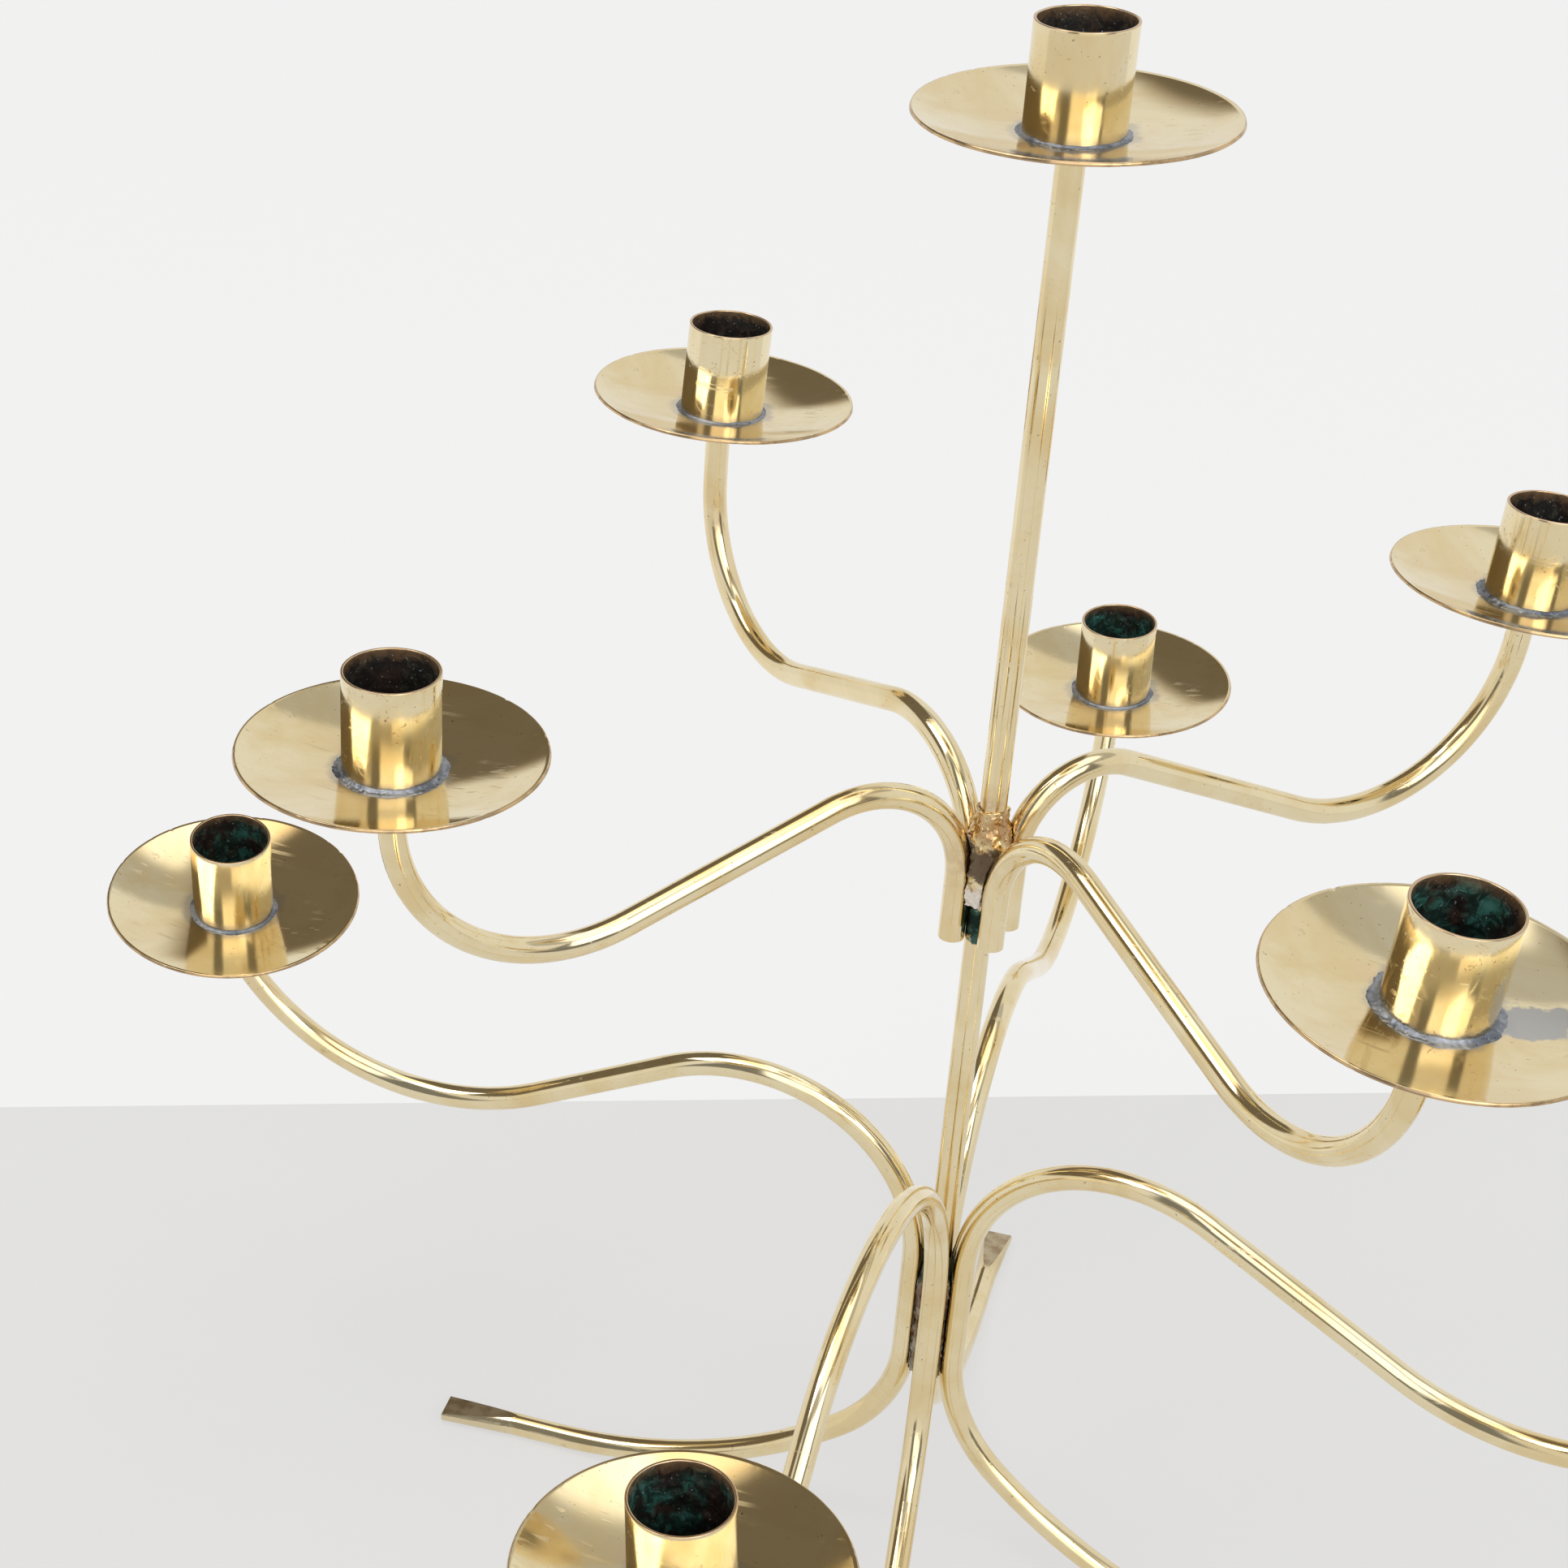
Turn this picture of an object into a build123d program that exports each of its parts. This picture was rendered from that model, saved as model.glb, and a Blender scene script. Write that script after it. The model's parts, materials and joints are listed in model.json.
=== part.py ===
"""Nine-light brass candelabrum, hand-bent from round rod.

A straight stem carries the top light. Four upper arms are brazed round the middle of the stem and
four lower rods round its foot. Each lower rod is one piece: its upper end bends out as an arm and
its lower end bends out as a leg. Every arm ends in a tenon that is riveted through a dished drip
pan, and a tubular candle cup is soft-soldered on each pan.

Millimetres, +Z up. The origin is on the stem's axis in the plane that the feet stand on.
The lower rods lie near the X and Y axes (the front one towards -Y), the upper arms between them.
"""
import math
import os
from collections import namedtuple

from build123d import *

# --- Rod stock and stem --------------------------------------------------------------------------
ROD_D = 7.0              # drawn round rod of the arms and legs
STEM_D = 7.0             # rod of the stem
STEM_FOOT_Z = 64.0       # lower end of the stem, hidden between the legs
BRAZE_GAP = 0.1          # film of braze between the stem and each rod that lies along it

# --- Candle cup ----------------------------------------------------------------------------------
CUP_BORE_D = 22.5        # takes a 22 mm dinner candle
CUP_WALL = 0.75
CUP_ABOVE_RIM = 21.0     # cup mouth above the plane of the drip pan's rim
CUP_EDGE_FILLET = 0.2

# --- Drip pan ------------------------------------------------------------------------------------
PAN_D = 75.0             # inner edge of the rim
PAN_DEPTH = 6.0          # rim plane down to the middle of the dish
PAN_SHEET = 1.0
TENON_D = 4.5            # turned end of each rod, riveted through the pan
TENON_HEAD = 0.4         # the riveted end is nearly flush, so the candle goes down to the dish
NECK = 8.0               # straight length of rod square to the pan, below it

# --- Solder and braze ----------------------------------------------------------------------------
CUP_SOLDER_WIDTH = 2.2   # fillet of soft solder round the foot of each cup
CUP_SOLDER_HEIGHT = 1.5
PAN_BRAZE_LEG = 1.8      # fillet of braze round each rod under its pan
UPPER_BRAZE_D = 13.0
UPPER_BRAZE_Z = (227.0, 247.0)
LOWER_BRAZE_D = 13.5
LOWER_BRAZE_Z = (66.0, 100.0)
BRAZE_CLIMB = 9.0        # height of the cone of braze that runs up the stem
BRAZE_SKIN = 0.5         # thickness of that cone at its top

# --- Bends shared by the rods (radii are those of the rod's centre line) --------------------------
NECK_R = 16.5            # tight bend that brings the end of a rod square to its pan
KNEE_R = 47.5            # where the rod leaves the stem and turns out as a leg
LEG_SLOPE = 38.0         # degrees below the horizontal after the knee
SHIN = 3.0               # straight length on that slope
ARCH_R = 136.0           # long bend that brings the leg level with the floor
LEG_REACH = 149.0        # stem axis to the end of the foot

# --- Foot ----------------------------------------------------------------------------------------
FOOT_LENGTH = 24.0       # hammered end of each leg
FOOT_WIDTH = 9.6
FOOT_OVAL = 6.4          # height of the oval that the end is hammered to
FOOT_THICKNESS = 4.2     # left at the tip under the flat that is filed on top
SOLE = 0.25              # how deep the flat of the sole is at the tip

# --- The lights ----------------------------------------------------------------------------------
TOP_PAN_Z = 440.0        # rim plane of the top drip pan

# Each arm is bent by hand, so each has its own sizes. reach and rim_z place the middle of the pan's
# rim plane. hump_z and bend_z are the highest and lowest points of the centre line, and hump_r and
# bend_r the bends there. lean_out and lean_side tilt the pan (degrees). root is where the rod stands
# round the stem.
Arm = namedtuple("Arm", "azimuth reach rim_z hump_z hump_r bend_z bend_r lean_out lean_side root")
UPPER_ARMS = {
    "back_left": Arm(135.0, 155.0, 312.5, 264.0, 33.5, 243.5, 41.0, 0.0, -3.5, 131.0),
    "front_left": Arm(222.5, 167.0, 305.5, 264.5, 30.0, 239.0, 47.5, 0.0, 0.0, 198.0),
    "front_right": Arm(314.0, 166.5, 302.5, 258.5, 28.5, 237.5, 45.0, 4.5, 1.0, 308.0),
    "back_right": Arm(44.0, 164.5, 291.5, 263.5, 23.0, 230.5, 46.5, 4.5, 0.5, 26.0),
}
LOWER_RODS = {
    "left": Arm(180.5, 220.0, 178.5, 156.5, 52.5, 122.0, 74.0, -2.5, 7.0, 182.0),
    "back": Arm(90.5, 222.5, 185.0, 153.0, 59.5, 120.5, 68.0, -3.0, 1.0, 92.0),
    "front": Arm(267.5, 225.5, 186.0, 169.0, 75.0, 118.0, 43.0, 1.5, -3.0, 277.0),
    "right": Arm(345.5, 221.0, 183.0, 155.5, 50.0, 125.0, 72.0, 0.5, 0.0, 352.0),
}
SAWN_ENDS = {"back_left": 217.0, "front_left": 215.5, "front_right": 217.0, "back_right": 219.0}

# --- Worked out from the sizes above -------------------------------------------------------------
ROD_R = ROD_D / 2
STEM_R = STEM_D / 2
ROOT_R = STEM_R + ROD_R + BRAZE_GAP      # stem axis to the axis of a rod that lies along it
CUP_R = CUP_BORE_D / 2 + CUP_WALL
PAN_R = PAN_D / 2
DISH_R = (PAN_R**2 + PAN_DEPTH**2) / (2 * PAN_DEPTH)
SHOULDER = PAN_DEPTH + PAN_SHEET         # rim plane down to the shoulder of the tenon


def polar(radius, azimuth, z=0.0):
    """The point at a radius and azimuth round the stem."""
    angle = math.radians(azimuth)
    return Vector(radius * math.cos(angle), radius * math.sin(angle), z)


# --- One light, built about its own axis with z = 0 in the rim plane -----------------------------
def dish_height(radius):
    """Height of the pan's upper face at a radius from its middle."""
    return DISH_R - PAN_DEPTH - math.sqrt(DISH_R**2 - radius**2)


def drip_pan():
    """Dished sheet disc with a square-cut rim and a hole for the tenon."""
    half = math.asin(PAN_R / DISH_R) / 2
    centre_z = DISH_R - PAN_DEPTH

    def on_dish(radius, angle):
        return (radius * math.sin(angle), centre_z - radius * math.cos(angle))

    outer = DISH_R + PAN_SHEET
    top = ThreePointArc(on_dish(DISH_R, 0), on_dish(DISH_R, half), on_dish(DISH_R, 2 * half))
    under = ThreePointArc(on_dish(outer, 0), on_dish(outer, half), on_dish(outer, 2 * half))
    outline = top + under + Line(top @ 0, under @ 0) + Line(top @ 1, under @ 1)
    dish = revolve(Plane.XZ * make_face(outline), Axis.Z)
    hole = Cylinder(TENON_D / 2, 4 * PAN_DEPTH)
    return dish - hole


def candle_cup(pan):
    """Plain tube whose lower edge is fitted to the dish."""
    height = CUP_ABOVE_RIM + PAN_DEPTH
    base = Pos(0, 0, -PAN_DEPTH)
    stand = (Align.CENTER, Align.CENTER, Align.MIN)
    tube = base * (Cylinder(CUP_R, height, align=stand) - Cylinder(CUP_BORE_D / 2, height, align=stand))
    mouth = tube.edges().group_by(Axis.Z)[-1]
    return fillet(mouth, CUP_EDGE_FILLET) - pan


def hollow_fillet(radius, z, width, height, root):
    """Ring with a hollow sloping face in the corner between a round wall and a level face at z.

    A positive height stands above the face and a negative one hangs below it. root is how far the
    ring reaches past the face, to be cut off by the piece it lies on.
    """
    tip = (radius, z + height)
    toe = (radius + width, z)
    slope = ThreePointArc(tip, (radius + 0.35 * width, z + 0.35 * height), toe)
    base = z - math.copysign(root, height)
    outline = slope + Polyline(toe, (radius + width, base), (radius, base), tip)
    return revolve(Plane.XZ * make_face(outline), Axis.Z)


def cup_solder(pan, cup):
    """Ring of soft solder in the corner between the cup and the dish."""
    toe_z = dish_height(CUP_R + CUP_SOLDER_WIDTH)
    root = toe_z - dish_height(CUP_R) + PAN_SHEET / 2
    ring = hollow_fillet(CUP_R, toe_z, CUP_SOLDER_WIDTH, CUP_SOLDER_HEIGHT, root)
    return ring - pan - cup


def pan_braze(pan, radius):
    """Fillet of braze in the corner between a neck of that radius and the underside of the pan."""
    return hollow_fillet(radius, -SHOULDER, PAN_BRAZE_LEG, -PAN_BRAZE_LEG, PAN_SHEET / 2) - pan


def rod_end(radius):
    """The neck of a rod under its pan, with the shoulder and the riveted tenon."""
    below = (Align.CENTER, Align.CENTER, Align.MAX)
    above = (Align.CENTER, Align.CENTER, Align.MIN)
    neck = Pos(0, 0, -SHOULDER) * Cylinder(radius, NECK, align=below)
    tenon = Pos(0, 0, -SHOULDER) * Cylinder(TENON_D / 2, PAN_SHEET + TENON_HEAD, align=above)
    elbow = Pos(0, 0, -SHOULDER - NECK) * Sphere(radius)
    return neck + tenon + elbow


# --- Rods ----------------------------------------------------------------------------------------
def bent_path(start, heading, steps, place):
    """Centre line from straight lengths and (radius, turn) bends, drawn in the x-z plane of place."""
    point, tangent, edges = Vector(*start), Vector(*heading), []
    for step in steps:
        if isinstance(step, tuple):
            radius, turn = step
            piece = JernArc(point, tangent, radius, turn)
        else:
            piece = Line(point, point + tangent * step)
        point, tangent = piece @ 1, piece % 1
        edges.append(piece.edge().moved(place * Plane.XZ.location))
    return edges


def swept_rod(edges):
    """Round rod along a centre line."""
    path = Wire(edges)
    return sweep(Plane(origin=path @ 0, z_dir=path % 0) * Circle(ROD_R), path=path)


def seat_of(arm):
    """Frame of a light: origin in the middle of the pan's rim plane, z along the cup's axis."""
    place = Location(polar(arm.reach, arm.azimuth, arm.rim_z), (0, 0, arm.azimuth))
    return place * Location((0, 0, 0), (-arm.lean_side, arm.lean_out, 0))


def rise_to_neck(height, bend_r, end_heading):
    """Bends and straight from the lowest point of an arm up to its neck, and how far out they go.

    The bend runs right round where there is height for it, and a straight upright makes up the rest.
    Otherwise a tight bend follows it. Headings are in radians above the horizontal. The first bend
    is counted from level.
    """
    upright = (height - bend_r * (1 - math.cos(end_heading))) / math.sin(end_heading)
    if upright > 0:
        out = bend_r * math.sin(end_heading) + upright * math.cos(end_heading)
        return math.degrees(end_heading), upright, out
    wide = math.acos((bend_r - height - NECK_R * math.cos(end_heading)) / (bend_r - NECK_R))
    out = bend_r * math.sin(wide) + NECK_R * (math.sin(end_heading) - math.sin(wide))
    return math.degrees(wide), (NECK_R, math.degrees(end_heading - wide)), out


def arm_path(arm, start_z):
    """Centre line from start_z up the stem, over the hump, down through the bend and up to the neck.

    The slope between hump and bend is the line that touches both circles.
    """
    elbow = (seat_of(arm) * Pos(0, 0, -SHOULDER - NECK)).position
    root = polar(ROOT_R, arm.root)
    reach = math.hypot(elbow.X - root.X, elbow.Y - root.Y)
    end_heading = math.radians(90 - arm.lean_out)
    hump_r, bend_r = arm.hump_r, arm.bend_r
    level_to_wide, last, out = rise_to_neck(elbow.Z - arm.bend_z, bend_r, end_heading)

    across = reach - out - hump_r
    rise = (arm.bend_z + bend_r) - (arm.hump_z - hump_r)
    span = math.hypot(across, rise)
    slope = math.degrees(math.asin((hump_r + bend_r) / span) - math.atan2(rise, across))
    straight = math.sqrt(span**2 - (hump_r + bend_r) ** 2)

    upright = arm.hump_z - hump_r - start_z
    steps = [upright, (hump_r, -90 - slope), straight, (bend_r, slope + level_to_wide), last]
    heading = math.degrees(math.atan2(elbow.Y - root.Y, elbow.X - root.X))
    return bent_path((0, start_z), (0, 1), steps, Location(root, (0, 0, heading)))


def leg_start():
    """Distance from the rod's upright part to the inner end of the hammered foot."""
    return LEG_REACH - ROOT_R - FOOT_LENGTH


def knee_height():
    """Height at which the legs start to turn out from the stem."""
    slope = math.radians(LEG_SLOPE)
    return ROD_R + ARCH_R * (1 - math.cos(slope)) + SHIN * math.sin(slope) + KNEE_R * math.cos(slope)


def leg_path(arm):
    """Centre line from the foot along the floor, up the arch and round the knee to the stem."""
    slope = math.radians(LEG_SLOPE)
    level_to = KNEE_R * (1 - math.sin(slope)) + SHIN * math.cos(slope) + ARCH_R * math.sin(slope)
    steps = [leg_start() - level_to, (ARCH_R, -LEG_SLOPE), SHIN, (KNEE_R, LEG_SLOPE - 90)]
    place = Location(polar(ROOT_R, arm.root), (0, 0, arm.root))
    return bent_path((leg_start(), ROD_R), (-1, 0), steps, place)


def foot():
    """Hammered end of a leg lying along +x on the floor, ending at x = FOOT_LENGTH.

    Its sole widens from a point to the flat that the tip stands on.
    """
    start = Plane(origin=(0, 0, ROD_R), z_dir=(1, 0, 0), x_dir=(0, 1, 0)) * Circle(ROD_R)
    oval = Ellipse(FOOT_WIDTH / 2, FOOT_OVAL / 2)
    tip = Plane(origin=(FOOT_LENGTH, 0, FOOT_OVAL / 2 - SOLE), z_dir=(1, 0, 0), x_dir=(0, 1, 0))
    blank = loft([start, tip * oval])
    flat = Polyline(
        (0, ROD_D), (FOOT_LENGTH, FOOT_THICKNESS), (FOOT_LENGTH, 2 * ROD_D), (0, 2 * ROD_D), close=True
    )
    floor = Pos(FOOT_LENGTH / 2, 0, -ROD_R) * Box(2 * FOOT_LENGTH, 2 * FOOT_WIDTH, ROD_D)
    return blank - extrude(Plane.XZ * make_face(flat), FOOT_WIDTH, both=True) - floor


def joined(rod, *ends):
    """One solid from a rod and what is formed at its ends."""
    return rod + [solid for end in ends for solid in end.solids()]


def upper_arm(arm, sawn_end):
    """Upper arm from its sawn lower end to the tenon in its pan."""
    rod = swept_rod(arm_path(arm, sawn_end))
    return joined(rod, seat_of(arm) * rod_end(ROD_R))


def lower_rod(arm):
    """Leg and arm in one length of rod, from the hammered foot to the tenon in its pan."""
    rod = swept_rod(leg_path(arm) + arm_path(arm, knee_height()))
    leg_end = Location(polar(ROOT_R, arm.root), (0, 0, arm.root)) * Pos(leg_start(), 0, 0)
    return joined(rod, leg_end * foot(), seat_of(arm) * rod_end(ROD_R))


def stem():
    """Straight rod from between the legs up to the top pan."""
    length = TOP_PAN_Z - SHOULDER - STEM_FOOT_Z
    rod = Pos(0, 0, STEM_FOOT_Z) * Cylinder(STEM_R, length, align=(Align.CENTER, Align.CENTER, Align.MIN))
    return joined(rod, Pos(0, 0, TOP_PAN_Z) * rod_end(STEM_R))


def hub_braze(diameter, z_range, rods):
    """Braze that fills the corners between the stem and the rods round it, and runs up the stem."""
    low, high = z_range
    radius = diameter / 2
    outline = Polyline(
        (0, low), (radius, low), (radius, high), (STEM_R + BRAZE_SKIN, high + BRAZE_CLIMB),
        (0, high + BRAZE_CLIMB), close=True,
    )
    return revolve(Plane.XZ * make_face(outline), Axis.Z) - rods


# --- Assembly ------------------------------------------------------------------------------------
def build():
    """Every piece in its place, by node name."""
    pieces = {"stem": stem()}
    for name, arm in UPPER_ARMS.items():
        pieces[f"upper_arm_{name}"] = upper_arm(arm, SAWN_ENDS[name])
    for name, arm in LOWER_RODS.items():
        pieces[f"lower_rod_{name}"] = lower_rod(arm)

    uppers = [pieces["stem"]] + [pieces[f"upper_arm_{name}"] for name in UPPER_ARMS]
    lowers = [pieces["stem"]] + [pieces[f"lower_rod_{name}"] for name in LOWER_RODS]
    pieces["upper_hub_braze"] = hub_braze(UPPER_BRAZE_D, UPPER_BRAZE_Z, uppers)
    pieces["lower_hub_braze"] = hub_braze(LOWER_BRAZE_D, LOWER_BRAZE_Z, lowers)

    seats = {"top": Location((0, 0, TOP_PAN_Z))}
    seats.update({f"upper_{name}": seat_of(arm) for name, arm in UPPER_ARMS.items()})
    seats.update({f"lower_{name}": seat_of(arm) for name, arm in LOWER_RODS.items()})
    pan = drip_pan()
    cup = candle_cup(pan)
    ring = cup_solder(pan, cup)
    for name, seat in seats.items():
        collar = pan_braze(pan, STEM_R if name == "top" else ROD_R)
        pieces[f"drip_pan_{name}"] = seat * pan
        pieces[f"candle_cup_{name}"] = seat * cup
        pieces[f"cup_solder_{name}"] = seat * ring
        pieces[f"pan_braze_{name}"] = seat * collar
    return pieces


os.makedirs("parts", exist_ok=True)
for node, piece in build().items():
    export_step(piece, f"parts/{node}.step")
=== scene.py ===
import json
import math

import bmesh
import bpy
from mathutils import Matrix, Vector, noise


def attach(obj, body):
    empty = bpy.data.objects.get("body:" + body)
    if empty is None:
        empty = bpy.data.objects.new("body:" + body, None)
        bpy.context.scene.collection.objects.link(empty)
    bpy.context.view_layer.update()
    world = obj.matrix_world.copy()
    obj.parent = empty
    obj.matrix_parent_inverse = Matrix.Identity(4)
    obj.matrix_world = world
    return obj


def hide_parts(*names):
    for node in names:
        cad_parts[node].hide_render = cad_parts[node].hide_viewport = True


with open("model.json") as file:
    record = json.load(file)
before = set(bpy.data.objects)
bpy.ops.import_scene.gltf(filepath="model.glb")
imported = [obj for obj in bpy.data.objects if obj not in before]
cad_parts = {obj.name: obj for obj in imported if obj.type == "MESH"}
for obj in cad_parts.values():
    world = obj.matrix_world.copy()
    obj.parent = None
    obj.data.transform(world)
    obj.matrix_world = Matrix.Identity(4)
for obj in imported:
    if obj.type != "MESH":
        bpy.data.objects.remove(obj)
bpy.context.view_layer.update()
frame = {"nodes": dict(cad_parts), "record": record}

MM = 0.001

bpy.context.scene.view_settings.view_transform = "Standard"

# --- Camera --------------------------------------------------------------------------------------
# It looks down on the object from the front right. The shift frames the left part of the object
# and cuts the right one.
CAMERA_AT = (0.1103, -0.6803, 0.6479)
CAMERA_TILT = 58.73      # degrees up from looking straight down
CAMERA_ROLL = 0.53
CAMERA_HEADING = 23.02
LENS = 68.27
SHIFT = (0.278, 0.0476)

camera_data = bpy.data.cameras.new("camera")
camera_data.lens = LENS
camera_data.sensor_width = 36
camera_data.shift_x, camera_data.shift_y = SHIFT
camera = bpy.data.objects.new("camera", camera_data)
camera.location = CAMERA_AT
camera.rotation_euler = [math.radians(a) for a in (CAMERA_TILT, CAMERA_ROLL, CAMERA_HEADING)]
bpy.context.collection.objects.link(camera)
bpy.context.scene.camera = camera


# --- Node graph helper ---------------------------------------------------------------------------
class Graph:
    """Short calls for building a shader node tree."""

    def __init__(self, tree):
        self.tree = tree
        tree.nodes.clear()

    def node(self, kind, **settings):
        made = self.tree.nodes.new("ShaderNode" + kind)
        for key, value in settings.items():
            setattr(made, key, value)
        return made

    def put(self, socket, value):
        """Links a socket, or sets the socket's own value."""
        if isinstance(value, bpy.types.NodeSocket):
            self.tree.links.new(value, socket)
        elif value is not None:
            if hasattr(socket.default_value, "__len__") and len(socket.default_value) == 4:
                value = (*value, 1.0) if len(value) == 3 else value
            socket.default_value = value

    def math(self, operation, a, b=None, c=None, clamp=False):
        made = self.node("Math", operation=operation, use_clamp=clamp)
        for socket, value in zip(made.inputs, (a, b, c)):
            self.put(socket, value)
        return made.outputs[0]

    def vector(self, operation, a, b=None):
        made = self.node("VectorMath", operation=operation)
        self.put(made.inputs[0], a)
        self.put(made.inputs[1], b)
        return made.outputs["Value" if operation == "LENGTH" else 0]

    def place(self):
        """Position in the object's own frame."""
        return self.node("TexCoord").outputs["Object"]

    def split(self, vector):
        made = self.node("SeparateXYZ")
        self.put(made.inputs[0], vector)
        return made.outputs

    def join(self, x, y, z):
        made = self.node("CombineXYZ")
        for socket, value in zip(made.inputs, (x, y, z)):
            self.put(socket, value)
        return made.outputs[0]

    def noise(self, vector, scale, detail=3.0, roughness=0.55, distortion=0.0):
        made = self.node("TexNoise")
        self.put(made.inputs["Vector"], vector)
        for key, value in (("Scale", scale), ("Detail", detail), ("Roughness", roughness)):
            made.inputs[key].default_value = value
        made.inputs["Distortion"].default_value = distortion
        return made.outputs["Fac"]

    def step(self, value, low, high, out_low=0.0, out_high=1.0):
        """Smooth step from low to high. low may be above high."""
        made = self.node("MapRange", interpolation_type="SMOOTHSTEP")
        for socket, entry in zip(made.inputs, (value, low, high, out_low, out_high)):
            self.put(socket, entry)
        return made.outputs[0]

    def mix(self, factor, a, b):
        made = self.node("Mix", data_type="RGBA")
        self.put(made.inputs[0], factor)
        self.put(made.inputs[6], a)
        self.put(made.inputs[7], b)
        return made.outputs[2]

    def blend(self, factor, a, b):
        made = self.node("Mix", data_type="FLOAT")
        for socket, value in zip(made.inputs[:1] + made.inputs[2:4], (factor, a, b)):
            self.put(socket, value)
        return made.outputs[0]

    def times(self, *values):
        product = values[0]
        for value in values[1:]:
            product = self.math("MULTIPLY", product, value)
        return product

    def most(self, *values):
        top = values[0]
        for value in values[1:]:
            top = self.math("MAXIMUM", top, value)
        return top

    def bump(self, height, strength, distance=0.0001, normal=None):
        made = self.node("Bump")
        made.inputs["Strength"].default_value = strength
        made.inputs["Distance"].default_value = distance
        self.put(made.inputs["Height"], height)
        if normal is not None:
            self.put(made.inputs["Normal"], normal)
        return made.outputs[0]


def surface(name, build):
    """Material whose Principled sockets are what build(graph) returns."""
    material = bpy.data.materials.new(name)
    material.use_nodes = True
    graph = Graph(material.node_tree)
    shader = graph.node("BsdfPrincipled")
    output = graph.node("OutputMaterial")
    graph.tree.links.new(shader.outputs[0], output.inputs[0])
    for key, value in build(graph).items():
        graph.put(shader.inputs[key], value)
    return material


# --- World: a pale room with a bright ceiling panel and a dark corner behind on the left -----------
VIEW_AZIMUTH = math.radians(113.3)       # which way the camera looks, seen from above


def build_world():
    world = bpy.data.worlds.new("studio")
    world.use_nodes = True
    bpy.context.scene.world = world
    g = Graph(world.node_tree)
    way = g.split(g.node("TexCoord").outputs["Generated"])
    c, s = math.cos(VIEW_AZIMUTH), math.sin(VIEW_AZIMUTH)
    ahead = g.math("ADD", g.times(way[0], c), g.times(way[1], s))
    left = g.math("SUBTRACT", g.times(way[1], c), g.times(way[0], s))
    side = g.times(g.math("ARCTAN2", left, ahead), math.degrees(1))
    height = g.times(g.math("ARCSINE", way[2]), math.degrees(1))

    wall = 0.84
    light = g.blend(g.step(height, 44.0, 46.0), wall, 0.52)
    right_lamp = g.times(g.step(height, 58.0, 64.0), g.step(side, -12.0, -18.0))
    light = g.blend(right_lamp, light, 1.5)
    edge = g.math("ADD", -2.0, g.times(height, -0.1))
    corner = g.times(
        g.step(g.math("SUBTRACT", side, edge), -3.0, 3.0),
        g.step(side, 115.0, 105.0),
        g.step(height, 18.0, 24.0),
    )
    light = g.blend(corner, light, 0.17)
    light = g.blend(g.step(height, 66.0, 72.0), light, 1.7)
    # the room behind the camera: a window, with a dark gap on each side of it
    gap = g.step(g.math("ABSOLUTE", g.math("SUBTRACT", g.math("ABSOLUTE", side), 140.0)), 14.0, 9.0)
    light = g.blend(g.times(gap, g.step(height, 62.0, 52.0), g.step(height, -4.0, 2.0)), light, 0.22)
    window = g.times(g.step(g.math("ABSOLUTE", side), 148.0, 154.0), g.step(height, 8.0, 14.0))
    light = g.blend(g.times(window, g.step(height, 60.0, 52.0)), light, 1.6)

    seen = g.blend(g.node("LightPath").outputs["Is Camera Ray"], light, 0.9)
    # the dark corner is warm, like wood
    green = g.blend(corner, 1.0, 0.84)
    blue = g.blend(corner, 0.99, 0.62)
    tint = g.join(seen, g.times(seen, green), g.times(seen, blue))
    background = g.node("Background")
    g.put(background.inputs[0], tint)
    output = g.node("OutputWorld")
    g.tree.links.new(background.outputs[0], output.inputs[0])


build_world()


def area_light(name, at, look_at, size, power):
    data = bpy.data.lights.new(name, "AREA")
    data.shape = "RECTANGLE"
    data.size, data.size_y = size
    data.energy = power
    lamp = bpy.data.objects.new(name, data)
    lamp.location = at
    lamp.rotation_euler = (Vector(look_at) - Vector(at)).to_track_quat("-Z", "Y").to_euler()
    lamp.visible_camera = False
    bpy.context.collection.objects.link(lamp)


area_light("key", (-0.9, -0.5, 1.9), (0, 0, 0.1), (0.9, 0.9), 9.0)
area_light("fill", (1.3, -1.2, 1.5), (0, 0, 0.1), (1.2, 1.2), 8.0)


# --- Brass ---------------------------------------------------------------------------------------
PALE = (0.88, 0.765, 0.505)
GOLD = (0.80, 0.635, 0.345)
ROSE = (0.80, 0.59, 0.37)
BROWN = (0.22, 0.12, 0.05)
OLIVE = (0.42, 0.33, 0.14)
TEAL = (0.06, 0.13, 0.105)
SOOT = (0.02, 0.018, 0.012)
FLUX = (0.50, 0.47, 0.42)


def scratches(g, where, count=3, density=0.66):
    """Thin scratches in a few directions, 0 to 1."""
    lines = None
    for k in range(count):
        turn = g.node("Mapping")
        g.put(turn.inputs["Vector"], where)
        turn.inputs["Rotation"].default_value = (0.4 * k, 0.7 * k, 1.1 * k + 0.3)
        turn.inputs["Scale"].default_value = (9.0, 420.0, 420.0)
        band = g.noise(turn.outputs[0], 1.0 + 0.3 * k, 1.0, 0.5, 0.3)
        line = g.step(band, density, density + 0.05)
        lines = line if lines is None else g.most(lines, line)
    patches = g.step(g.noise(where, 60.0, 2.0), 0.42, 0.62)
    return g.times(lines, patches)


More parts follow.
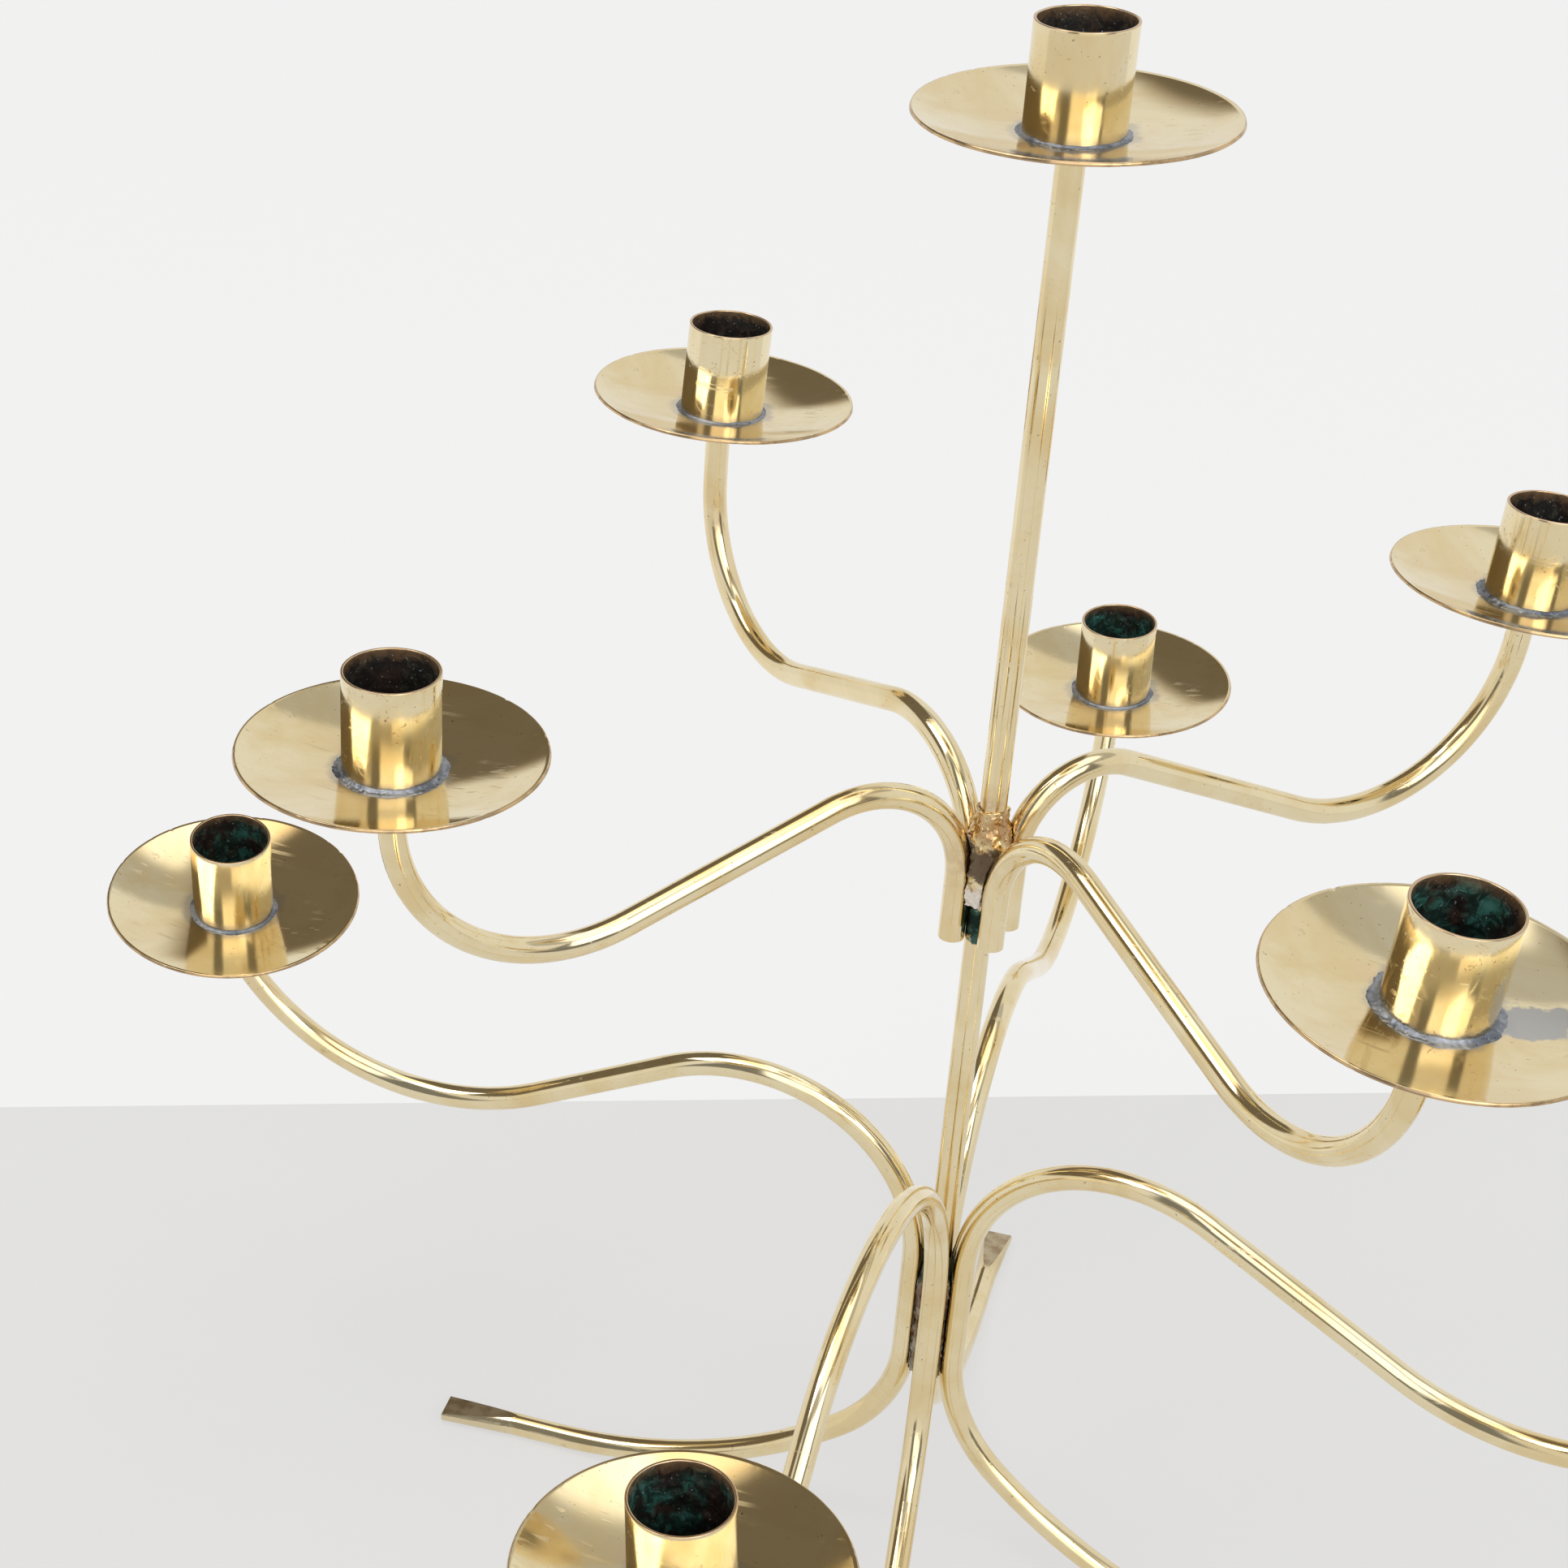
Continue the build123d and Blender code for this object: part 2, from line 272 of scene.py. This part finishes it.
def brass(g, where, tint_masks=(), rough=0.09, line_density=0.66):
    """Colour, roughness and height of worn polished brass. Masks are (factor, colour, roughness)."""
    cloud = g.noise(where, 35.0, 4.0, 0.6, 0.6)
    color = g.mix(g.step(cloud, 0.35, 0.7), PALE, GOLD)
    color = g.mix(g.times(g.step(g.noise(where, 16.0, 2.0), 0.55, 0.75), 0.35), color, ROSE)
    speck = g.step(g.noise(where, 900.0, 2.0, 0.5), 0.70, 0.76)
    stain = g.times(g.step(g.noise(where, 160.0, 5.0, 0.7), 0.66, 0.78), 0.55)
    color = g.mix(g.times(speck, 0.6), color, BROWN)
    color = g.mix(stain, color, OLIVE)
    line = scratches(g, where, density=line_density)
    roughness = g.math("ADD", rough, g.times(g.step(cloud, 0.3, 0.8), 0.06))
    roughness = g.math("ADD", roughness, g.times(stain, 0.25))
    roughness = g.math("ADD", roughness, g.times(line, 0.2))
    for factor, tint, tint_rough in tint_masks:
        color = g.mix(factor, color, tint)
        roughness = g.blend(factor, roughness, tint_rough)
    height = g.math("SUBTRACT", g.times(g.noise(where, 260.0, 3.0), 0.35), g.times(line, 0.5))
    height = g.math("SUBTRACT", height, g.times(speck, 0.5))
    return {
        "Base Color": color,
        "Metallic": 1.0,
        "Roughness": roughness,
        "Normal": g.bump(height, 0.22, 0.00004),
    }


def band(g, value, low, high, soft):
    """1 between low and high, with soft ends."""
    return g.times(g.step(value, low - soft, low + soft), g.step(value, high + soft, high - soft))


def rod_surface(g):
    """Rods: heat tint and patina near the hubs, painted shade mixed with verdigris on the stem in the slot
    between the upper arms, dull hammered feet.
    """
    where = g.place()
    x, y, z = g.split(where)
    out = g.vector("LENGTH", g.join(x, y, 0.0))
    ragged = g.noise(where, 220.0, 3.0)
    wobble = g.times(g.math("SUBTRACT", ragged, 0.5), 0.016)
    near = g.step(out, 0.014, 0.006)
    z_wobbled = g.math("ADD", z, wobble)
    heat_up = g.times(band(g, z_wobbled, 0.238, 0.262, 0.006), near, 0.4)
    heat_low = g.times(band(g, z_wobbled, 0.070, 0.112, 0.008), g.step(out, 0.0068, 0.0055), 0.8)
    # painted shade: the stem between the upper arms' ends is painted near black to teal. This stands in
    # for the arms' shade and is mixed with real verdigris.
    slot_patina_and_shade = g.times(band(g, z_wobbled, 0.2165, 0.2275, 0.0007), g.step(out, 0.0042, 0.0036))
    facet = g.node("NewGeometry").outputs["Normal"]
    upward = g.step(g.split(facet)[2], 0.90, 0.975)
    hammered = g.times(g.step(out, 0.1245, 0.1285), upward, g.step(z, 0.012, 0.009))
    foot = g.times(g.step(out, 0.122, 0.132), g.step(z, 0.012, 0.009), 0.35)
    mottled = g.mix(g.step(ragged, 0.35, 0.65), (0.56, 0.46, 0.30), (0.36, 0.26, 0.15))
    masks = [
        (heat_up, g.mix(g.step(ragged, 0.4, 0.6), ROSE, (0.35, 0.18, 0.10)), 0.24),
        (heat_low, g.mix(g.step(ragged, 0.38, 0.62), (0.24, 0.13, 0.06), (0.06, 0.07, 0.04)), 0.3),
        (slot_patina_and_shade, g.mix(g.step(ragged, 0.45, 0.6), (0.015, 0.03, 0.025), TEAL), 0.5),
        (foot, (0.55, 0.44, 0.28), 0.25),
        (hammered, mottled, 0.34),
    ]
    return brass(g, where, masks, rough=0.08)


def pan_surface(g, smear=None):
    """Spun pan: fine turning lines, halo of flux round the cup, darker worn rim."""
    where = g.place()
    x, y, z = g.split(where)
    out = g.vector("LENGTH", g.join(x, y, 0.0))
    ragged = g.noise(where, 180.0, 4.0)
    wavy = g.math("ADD", out, g.times(g.math("SUBTRACT", ragged, 0.5), 0.006))
    halo = g.times(g.step(wavy, 0.0162, 0.0140), 0.55)
    pink = g.times(g.step(wavy, 0.021, 0.014), g.step(g.noise(where, 70.0, 2.0), 0.5, 0.65), 0.5)
    rim = g.times(g.step(out, 0.0371, 0.0375), 0.75)
    inside = g.step(out, 0.0115, 0.0112)
    masks = [
        (pink, ROSE, 0.16),
        (halo, FLUX, 0.28),
        (rim, g.mix(g.step(ragged, 0.45, 0.6), (0.62, 0.40, 0.20), (0.30, 0.17, 0.08)), 0.28),
        (inside, SOOT, 0.7),
    ]
    if smear:
        angle, reach, width = smear
        along = g.math("ADD", g.times(x, math.cos(angle)), g.times(y, math.sin(angle)))
        across = g.math("SUBTRACT", g.times(y, math.cos(angle)), g.times(x, math.sin(angle)))
        worn = g.times(g.math("SUBTRACT", ragged, 0.5), 0.012)
        patch = g.times(
            g.step(g.math("ADD", along, worn), reach, reach - 0.0015),
            g.step(along, 0.008, 0.011),
            g.step(g.math("ADD", g.math("ABSOLUTE", across), worn), width, width - 0.0015),
        )
        masks.append((g.times(patch, 0.85), (0.47, 0.48, 0.50), 0.34))
    made = brass(g, where, masks, rough=0.07)
    turned = g.noise(g.join(out, 0.0, 0.0), 3400.0, 2.0)
    made["Normal"] = g.bump(turned, 0.05, 0.00002, made["Normal"])
    return made


def cup_surface(g):
    """Outside of a cup: brown spots below the mouth, drawn lines up the tube, coppery edge."""
    where = g.place()
    x, y, z = g.split(where)
    shifted = g.vector("ADD", where, g.node("ObjectInfo").outputs["Location"])
    spots = g.times(
        g.step(g.noise(shifted, 420.0, 4.0, 0.7, 1.2), 0.60, 0.68),
        g.step(g.noise(shifted, 75.0, 2.0), 0.46, 0.60),
        g.step(z, 0.002, 0.010),
    )
    edge = g.step(z, 0.0206, 0.0209)
    foot = g.times(g.step(z, -0.0020, -0.0045), 0.5)
    masks = [
        (g.times(spots, 0.75), (0.30, 0.16, 0.07), 0.3),
        (g.times(edge, 0.7), (0.55, 0.34, 0.20), 0.22),
        (foot, (0.52, 0.42, 0.30), 0.25),
    ]
    made = brass(g, shifted, masks, rough=0.10)
    drawn = g.noise(g.join(x, y, g.times(z, 0.04)), 2600.0, 2.0)
    made["Normal"] = g.bump(drawn, 0.06, 0.00002, made["Normal"])
    return made


def soot_surface(green):
    """Inside of a cup: soot and old wax, more or less green with verdigris."""

    def build(g):
        where = g.vector("ADD", g.place(), g.node("ObjectInfo").outputs["Location"])
        z = g.split(g.place())[2]
        crust = g.noise(where, 330.0, 5.0, 0.7, 0.8)
        dark = g.mix(g.step(crust, 0.4, 0.7), (0.010, 0.007, 0.006), (0.055, 0.026, 0.014))
        verdigris = g.mix(g.step(crust, 0.45, 0.62), (0.010, 0.030, 0.022), (0.035, 0.16, 0.13))
        amount = g.times(g.step(g.noise(where, 120.0, 3.0), 0.40, 0.58), green)
        color = g.mix(amount, dark, verdigris)
        speck = g.step(g.noise(where, 1500.0, 1.0), 0.70, 0.74)
        color = g.mix(g.times(speck, 0.6), color, (0.45, 0.5, 0.5))
        worn = g.times(g.step(g.math("ADD", z, g.times(crust, 0.006)), 0.0205, 0.0245), 0.6)
        color = g.mix(worn, color, (0.33, 0.19, 0.09))
        return {
            "Base Color": color,
            "Metallic": g.times(worn, 0.9),
            "Roughness": g.blend(crust, 0.35, 0.75),
            "Normal": g.bump(crust, 0.6, 0.0004),
        }

    return build


def solder_surface(g):
    """Soft solder: dull grey with bright wiped ridges and black flux in the hollows."""
    where = g.vector("ADD", g.place(), g.node("ObjectInfo").outputs["Location"])
    grain = g.noise(where, 800.0, 4.0, 0.7)
    cloud = g.noise(where, 140.0, 3.0)
    color = g.mix(g.step(cloud, 0.35, 0.65), (0.15, 0.17, 0.21), (0.36, 0.38, 0.42))
    color = g.mix(g.times(g.step(grain, 0.58, 0.74), 0.8), color, (0.66, 0.66, 0.64))
    color = g.mix(g.step(grain, 0.42, 0.32), color, (0.06, 0.06, 0.07))
    return {
        "Base Color": color,
        "Metallic": 0.85,
        "Roughness": g.blend(g.step(cloud, 0.3, 0.7), 0.28, 0.48),
        "Normal": g.bump(grain, 0.5, 0.00025),
    }


def braze_surface(low_tint, high_tint, patches):
    """Cast-looking braze. patches are (low z, high z, colour, roughness, strength)."""

    def build(g):
        where = g.place()
        z = g.split(where)[2]
        lumps = g.noise(where, 420.0, 4.0, 0.65, 0.5)
        cloud = g.noise(where, 190.0, 3.0)
        color = g.mix(g.step(cloud, 0.35, 0.65), low_tint, high_tint)
        color = g.mix(g.times(g.step(lumps, 0.62, 0.70), 0.8), color, BROWN)
        roughness = g.blend(cloud, 0.10, 0.28)
        metal = 1.0
        ragged = g.math("ADD", z, g.times(g.math("SUBTRACT", lumps, 0.5), 0.010))
        for low, high, tint, rough, strength in patches:
            factor = g.times(band(g, ragged, low, high, 0.0012), strength)
            color = g.mix(factor, color, tint)
            roughness = g.blend(factor, roughness, rough)
            metal = g.math("MULTIPLY", metal, g.math("SUBTRACT", 1.0, g.times(factor, 0.8)))
        return {
            "Base Color": color,
            "Metallic": metal,
            "Roughness": roughness,
            "Normal": g.bump(lumps, 0.45, 0.0003),
        }

    return build


ROD = surface("worn_brass_rod", rod_surface)
PAN = surface("worn_brass_pan", pan_surface)
CUP = surface("worn_brass_cup", cup_surface)
SOOT_BROWN = surface("soot_brown", soot_surface(0.15))
SOOT_GREEN = surface("soot_green", soot_surface(0.95))
SOLDER = surface("dull_solder", solder_surface)
COLLAR = surface("braze_collar", braze_surface(GOLD, PALE, []))
UPPER_BRAZE = surface(
    "upper_braze",
    braze_surface(
        (0.84, 0.68, 0.38),
        (0.50, 0.31, 0.15),
        [(0.2265, 0.2335, (0.80, 0.76, 0.70), 0.6, 0.9), (0.2355, 0.2455, (0.05, 0.025, 0.012), 0.3, 0.9)],
    ),
)
LOWER_BRAZE = surface(
    "lower_braze",
    braze_surface(
        (0.34, 0.32, 0.27),
        (0.20, 0.13, 0.07),
        [(0.100, 0.109, (0.03, 0.05, 0.03), 0.5, 0.85), (0.090, 0.098, (0.14, 0.07, 0.04), 0.4, 0.7)],
    ),
)


# --- Mesh pieces ---------------------------------------------------------------------------------
def add_piece(name, vertices, faces, materials, material_of_face, at, replaced):
    mesh = bpy.data.meshes.new(name)
    mesh.from_pydata(vertices, [], faces)
    for material in materials:
        mesh.materials.append(material)
    for face, index in zip(mesh.polygons, material_of_face):
        face.use_smooth = True
        face.material_index = index
    mesh.update()
    piece = bpy.data.objects.new(name, mesh)
    bpy.context.collection.objects.link(piece)
    piece.matrix_world = at
    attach(piece, "root")
    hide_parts(replaced)
    return piece


def spun(profile, segments, shape, closed=True):
    """Vertices, faces and their materials of a profile of (radius, z, material) spun round z.

    shape(radius, z, angle, place) gives the vertex. Profile ends on the axis become a fan.
    """
    vertices, faces, indices = [], [], []
    rows = []
    for place, (radius, z, _) in enumerate(profile):
        if radius == 0:
            rows.append([len(vertices)])
            vertices.append((0.0, 0.0, z))
            continue
        rows.append([len(vertices) + k for k in range(segments)])
        for k in range(segments):
            vertices.append(shape(radius, z, 2 * math.pi * k / segments, place))
    pairs = list(zip(range(len(rows) - 1), range(1, len(rows))))
    if closed:
        pairs.append((len(rows) - 1, 0))
    for a, b in pairs:
        first, second = rows[a], rows[b]
        for k in range(segments):
            n = (k + 1) % segments
            if len(first) == 1 and len(second) == 1:
                break
            if len(first) == 1:
                faces.append((first[0], second[k], second[n]))
            elif len(second) == 1:
                faces.append((first[k], second[0], first[n]))
            else:
                faces.append((first[k], second[k], second[n], first[n]))
            indices.append(profile[a][2])
    return vertices, faces, indices


def polar(radius, angle, z):
    return (radius * math.cos(angle), radius * math.sin(angle), z)


PAN_R = 37.5 * MM
PAN_DEPTH = 6.0 * MM
SHEET = 1.0 * MM
DISH_R = (PAN_R**2 + PAN_DEPTH**2) / (2 * PAN_DEPTH)
CUP_R = 12.0 * MM
BORE_R = 11.25 * MM
CUP_TOP = 21.0 * MM
MOUNT_ABOVE_RIM = 7.7 * MM


def dish(radius, sink=0.0):
    return DISH_R - PAN_DEPTH - math.sqrt((DISH_R + sink) ** 2 - radius**2)


def make_pan(name, at, seed, material):
    """Dished pan with slightly wavy sheet and a worn, nicked rim."""
    rings, under_rings = 34, 20
    profile = [(PAN_R * (k / rings) ** 0.9, dish(PAN_R * (k / rings) ** 0.9), 0) for k in range(rings)]
    grow = (DISH_R + SHEET) / DISH_R
    under_r = PAN_R * grow
    r0 = 0.22 * MM
    profile += [(PAN_R - r0, dish(PAN_R - r0), 0), (PAN_R, dish(PAN_R) - 0.12 * MM, 0)]
    profile += [(PAN_R + 0.14 * MM, -0.5 * MM, 0), (under_r - 0.06 * MM, -0.80 * MM, 0)]
    for k in range(under_rings + 1):
        radius = (under_r - 0.3 * MM) * (1 - k / under_rings)
        profile.append((radius, dish(radius, SHEET), 0))
    first_rim, last_rim = rings - 1, rings + 4

    def shape(radius, z, angle, place):
        x, y = radius * math.cos(angle), radius * math.sin(angle)
        spot = Vector((x * 55, y * 55, seed * 7.3))
        wave = noise.noise(spot) * 0.055 * MM * min(1.0, max(0.0, (radius - CUP_R) / (8 * MM)))
        if first_rim <= place <= last_rim:
            cut = noise.noise(Vector((math.cos(angle) * 34, math.sin(angle) * 34, seed + 3.1)))
            fine = noise.noise(Vector((math.cos(angle) * 9, math.sin(angle) * 9, seed + 9.4)))
            nick = max(0.0, cut - 0.42) * 1.1 * MM * (1.0 if place <= first_rim + 2 else 0.4)
            radius -= nick * 0.6 + max(0.0, fine) * 0.05 * MM
            z -= nick * 0.5 if place <= first_rim + 2 else -nick * 0.3
        return polar(radius, angle, z + wave)

    vertices, faces, indices = spun(profile, 288, shape, closed=False)
    return add_piece(
        f"pan_{name}", vertices, faces, [material], indices, at, f"drip_pan_{name}"
    )


def make_cup(name, at, seed, crust, soot):
    """Tube with a hand-filed mouth, and soot or verdigris inside."""
    edge = 0.2 * MM
    low = dish(CUP_R) - 0.25 * MM
    steps = 30
    profile = [(CUP_R, low + (CUP_TOP - edge - low) * k / steps, 0) for k in range(steps + 1)]
    profile += [(CUP_R - 0.06 * MM, CUP_TOP - 0.05 * MM, 0), (CUP_R - edge, CUP_TOP, 0)]
    profile += [(BORE_R + edge, CUP_TOP, 0), (BORE_R + 0.06 * MM, CUP_TOP - 0.05 * MM, 0)]
    top_in = CUP_TOP - edge
    floor = dish(BORE_R) - 0.25 * MM
    profile += [(BORE_R, top_in + (floor - top_in) * k / steps, 1) for k in range(steps + 1)]
    mouth = steps + 5

    def shape(radius, z, angle, place):
        c, s = math.cos(angle), math.sin(angle)
        dent = noise.noise(Vector((c * 1.3, s * 1.3, z * 60 + seed * 5.1))) * 0.045 * MM
        fine = noise.noise(Vector((c * 6, s * 6, z * 300 + seed * 2.7))) * 0.008 * MM
        high = max(0.0, (z - 0.6 * CUP_TOP) / (0.4 * CUP_TOP))
        radius += dent - 0.03 * MM + fine
        if z > top_in - 0.01 * MM:
            filed = noise.noise(Vector((c * 2.2, s * 2.2, seed + 1.7)))
            z -= (0.09 + 0.09 * filed) * MM * high
        if place >= mouth:
            spot = Vector((c * 4.5, s * 4.5, z * 330 + seed))
            lump = noise.fractal(spot, 0.9, 2.1, 4)
            deep = min(1.0, (place - mouth) / 6)
            radius -= max(0.0, 0.35 + lump) * crust * MM * deep
        return polar(radius, angle, z)

    vertices, faces, indices = spun(profile, 160, shape)
    return add_piece(
        f"cup_{name}", vertices, faces, [CUP, soot], indices, at, f"candle_cup_{name}"
    )


def make_solder(name, at, seed, width, height, rough):
    """Lumpy ring of soft solder between the cup and the pan."""
    steps = 9
    profile = []
    for k in range(steps + 1):
        t = k / steps
        hollow = 1 - 0.55 * math.sin(math.pi * t)
        profile.append((t, (1 - t) * hollow, 0))

    def shape(t, lift, angle, place):
        c, s = math.cos(angle), math.sin(angle)
        swell = noise.noise(Vector((c * 3.1, s * 3.1, seed * 3.3)))
        ripple = noise.fractal(Vector((c * 14, s * 14, t * 2 + seed)), 0.8, 2.1, 3)
        reach = width * (1 + 0.30 * swell) + 0.18 * rough * ripple * MM
        top = height * (1 + 0.35 * swell)
        radius = CUP_R - 0.1 * MM + (0.1 * MM + reach) * t
        wrinkle = 0.22 * rough * ripple * MM * math.sin(math.pi * t) ** 0.5
        z = dish(radius) - 0.05 * MM + top * lift + wrinkle
        return polar(radius, angle, z)

    # the ring's underside lies just under the pan's face
    under = [(1.0, -0.12, 0), (0.02, -0.3, 0)]

    def shape_all(t, lift, angle, place):
        if place > steps:
            radius = CUP_R - 0.1 * MM + width * 0.8 * t
            return polar(radius, angle, dish(radius) - 0.2 * MM)
        return shape(t, lift, angle, place)

    profile = [(max(t, 1e-9), lift, m) for t, lift, m in profile] + under
    vertices, faces, indices = spun(profile, 240, shape_all)
    return add_piece(
        f"solder_{name}", vertices, faces, [SOLDER], indices, at, f"cup_solder_{name}"
    )


MERGE = 0.01 * MM
HUB_GRID = 0.32 * MM


def make_hub(node, material, seed, swell, shrink):
    """Braze round a hub: the CAD filler drawn in by shrink mm and roughened into a torch's lumps."""
    source = frame["nodes"][node]
    mesh = source.data.copy()
    mesh.materials.clear()
    mesh.materials.append(material)
    piece = bpy.data.objects.new(f"{node}_lumps", mesh)
    bpy.context.collection.objects.link(piece)
    build = bmesh.new()
    build.from_mesh(mesh)
    bmesh.ops.remove_doubles(build, verts=build.verts, dist=MERGE)
    build.to_mesh(mesh)
    build.free()
    grid = piece.modifiers.new("grid", "REMESH")
    grid.mode = "VOXEL"
    grid.voxel_size = HUB_GRID
    shown = bpy.data.meshes.new_from_object(piece.evaluated_get(bpy.context.evaluated_depsgraph_get()))
    piece.modifiers.clear()
    piece.data = shown
    build = bmesh.new()
    build.from_mesh(shown)
    for _ in range(3):
        bmesh.ops.smooth_vert(
            build, verts=build.verts, factor=0.5, use_axis_x=True, use_axis_y=True, use_axis_z=True
        )
    build.normal_update()
    for vertex in build.verts:
        spot = Vector(vertex.co) * 330 + Vector((seed, 0, 0))
        lump = noise.fractal(spot, 0.9, 2.0, 4)
        broad = noise.noise(Vector(vertex.co) * 120 + Vector((0, seed, 0)))
        crumb = max(0.0, noise.noise(Vector(vertex.co) * 620 + Vector((0, 0, seed))) - 0.1)
        vertex.co += vertex.normal * (lump * 0.26 + broad * 0.28 + crumb * 0.55) * swell * MM
        vertex.co -= vertex.normal * shrink * MM
    for face in build.faces:
        face.smooth = True
    build.to_mesh(shown)
    build.free()
    if not shown.materials:
        shown.materials.append(material)
    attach(piece, "root")
    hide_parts(node)
    return piece


# --- The lights ----------------------------------------------------------------------------------
def seat(name):
    """Frame of a light from its candle bore: origin in the rim plane, z up the cup, x near world x."""
    mount = next(m for m in frame["record"]["mounts"] if m["name"] == f"candle_bore_{name}")
    up = Vector(mount["axis"]).normalized()
    middle = Vector(mount["pos_m"])
    side = up.cross(Vector((1, 0, 0))).normalized()
    ahead = side.cross(up)
    turn = Matrix((ahead, side, up)).transposed().to_4x4()
    return Matrix.Translation(middle - up * MOUNT_ABOVE_RIM) @ turn


SMEAR = surface("worn_brass_pan_smeared", lambda g: pan_surface(g, (math.radians(5), 0.027, 0.006)))

# name: inside of the cup, crust (mm), solder width, height (mm) and roughness, pan material
LIGHTS = {
    "top": (SOOT_BROWN, 0.08, 1.5, 0.9, 0.5, PAN),
    "upper_back_left": (SOOT_BROWN, 0.10, 1.4, 0.8, 0.4, PAN),
    "upper_front_left": (SOOT_BROWN, 0.14, 2.1, 1.3, 1.1, PAN),
    "upper_front_right": (SOOT_GREEN, 0.75, 2.2, 1.4, 1.0, SMEAR),
    "upper_back_right": (SOOT_BROWN, 0.10, 2.0, 1.2, 1.2, PAN),
    "lower_left": (SOOT_GREEN, 0.35, 1.2, 0.8, 0.4, PAN),
    "lower_back": (SOOT_GREEN, 0.30, 1.3, 0.8, 0.4, PAN),
    "lower_front": (SOOT_GREEN, 0.85, 1.3, 0.8, 0.5, PAN),
    "lower_right": (SOOT_GREEN, 0.30, 1.4, 0.9, 0.5, PAN),
}

for number, (light, (soot, crust, width, height, rough, pan_material)) in enumerate(LIGHTS.items()):
    at = seat(light)
    make_pan(light, at, number, pan_material)
    make_cup(light, at, number, crust, soot)
    make_solder(light, at, number, width * MM, height * MM, rough)

make_hub("upper_hub_braze", UPPER_BRAZE, 4.0, 1.6, 0.7)
make_hub("lower_hub_braze", LOWER_BRAZE, 9.0, 1.1, 0.9)

for node, shown in frame["nodes"].items():
    if node == "stem" or node.startswith(("upper_arm", "lower_rod")):
        shown.data.materials[0] = ROD
    elif node.startswith("pan_braze"):
        shown.data.materials[0] = COLLAR

# --- Floor and backdrop --------------------------------------------------------------------------
AHEAD = Vector((math.cos(VIEW_AZIMUTH), math.sin(VIEW_AZIMUTH), 0))
RIGHT = Vector((math.sin(VIEW_AZIMUTH), -math.cos(VIEW_AZIMUTH), 0))
FLOOR_EDGE = 0.224       # from the stem to where the grey sheet ends, behind the object


def paper(name, shade_of, glow):
    """Matt paper with a faint mottle. glow keeps it as evenly lit as in a studio sweep."""

    def build(g):
        grain = g.noise(g.place(), 40.0, 3.0)
        shade = g.blend(grain, 0.985 * shade_of, 1.015 * shade_of)
        tint = g.join(shade, shade, shade)
        return {
            "Base Color": tint,
            "Roughness": 0.9,
            "Specular IOR Level": 0.0,
            "Emission Color": (1.0, 1.0, 1.0),
            "Emission Strength": glow,
        }

    return surface(name, build)


def sheet_of_paper(name, near, far, half_width, z, material):
    mesh = bpy.data.meshes.new(name)
    corners = [(near, -half_width), (near, half_width), (far, half_width), (far, -half_width)]
    points = [AHEAD * a + RIGHT * r + Vector((0, 0, z)) for a, r in corners]
    mesh.from_pydata([tuple(p) for p in points], [], [(0, 1, 2, 3)])
    mesh.materials.append(material)
    made = bpy.data.objects.new(name, mesh)
    bpy.context.collection.objects.link(made)


sheet_of_paper("floor", -3.0, FLOOR_EDGE, 4.0, 0.0, paper("grey_paper", 0.20, 0.56))
sheet_of_paper("backdrop", FLOOR_EDGE, 6.0, 4.0, 0.0, paper("white_paper", 0.09, 0.80))
